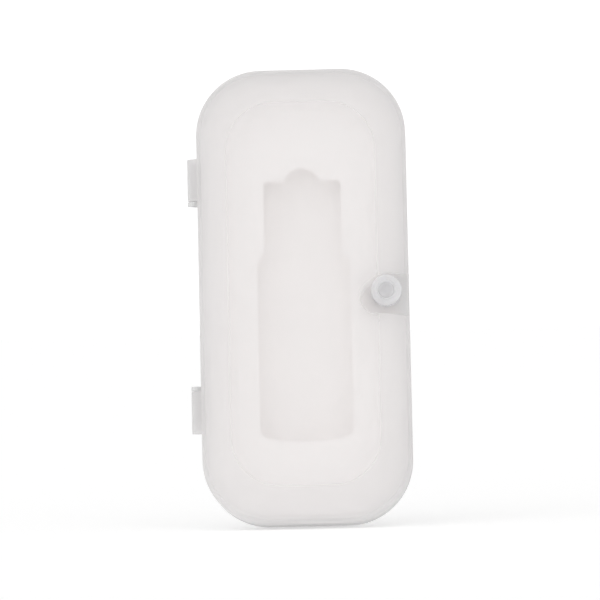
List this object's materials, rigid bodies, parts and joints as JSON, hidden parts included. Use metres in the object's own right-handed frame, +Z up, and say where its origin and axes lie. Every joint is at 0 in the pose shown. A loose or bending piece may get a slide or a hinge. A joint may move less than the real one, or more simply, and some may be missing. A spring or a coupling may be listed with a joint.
{
  "type": "hinged plastic case",
  "caption": "Small hinged case in frosted plastic, rounded corners, domed lid, snap button and a foam insert cut out for a memory stick.",
  "frame": {"origin": "centre of the base's flat foot, on the surface that the case stands on", "axes": "+Z up along the case, -Y out of the lid's front panel, hinges on the -X side and the snap button on the +X side"},
  "size_m": [0.0482, 0.021, 0.1],
  "materials": {
    "frosted_base": "satin",
    "frosted_lid": "satin",
    "white_foam": "matte",
    "clear_button": "gloss"
  },
  "bodies": {
    "base": {"base_shell": "frosted_base", "foam_backing": "white_foam", "foam_insert": "white_foam", "hinge_pin_upper": "frosted_base", "hinge_pin_lower": "frosted_base"},
    "lid": {"lid_shell": "frosted_lid", "snap_button": "clear_button"}
  },
  "joints": [
    {"name": "lid_hinge", "type": "hinge", "parent": "base", "child": "lid", "pos_m": [-0.02375, -0.0045, 0.05], "axis": [0, 0, -1], "range_deg": [0, 180]}
  ]
}
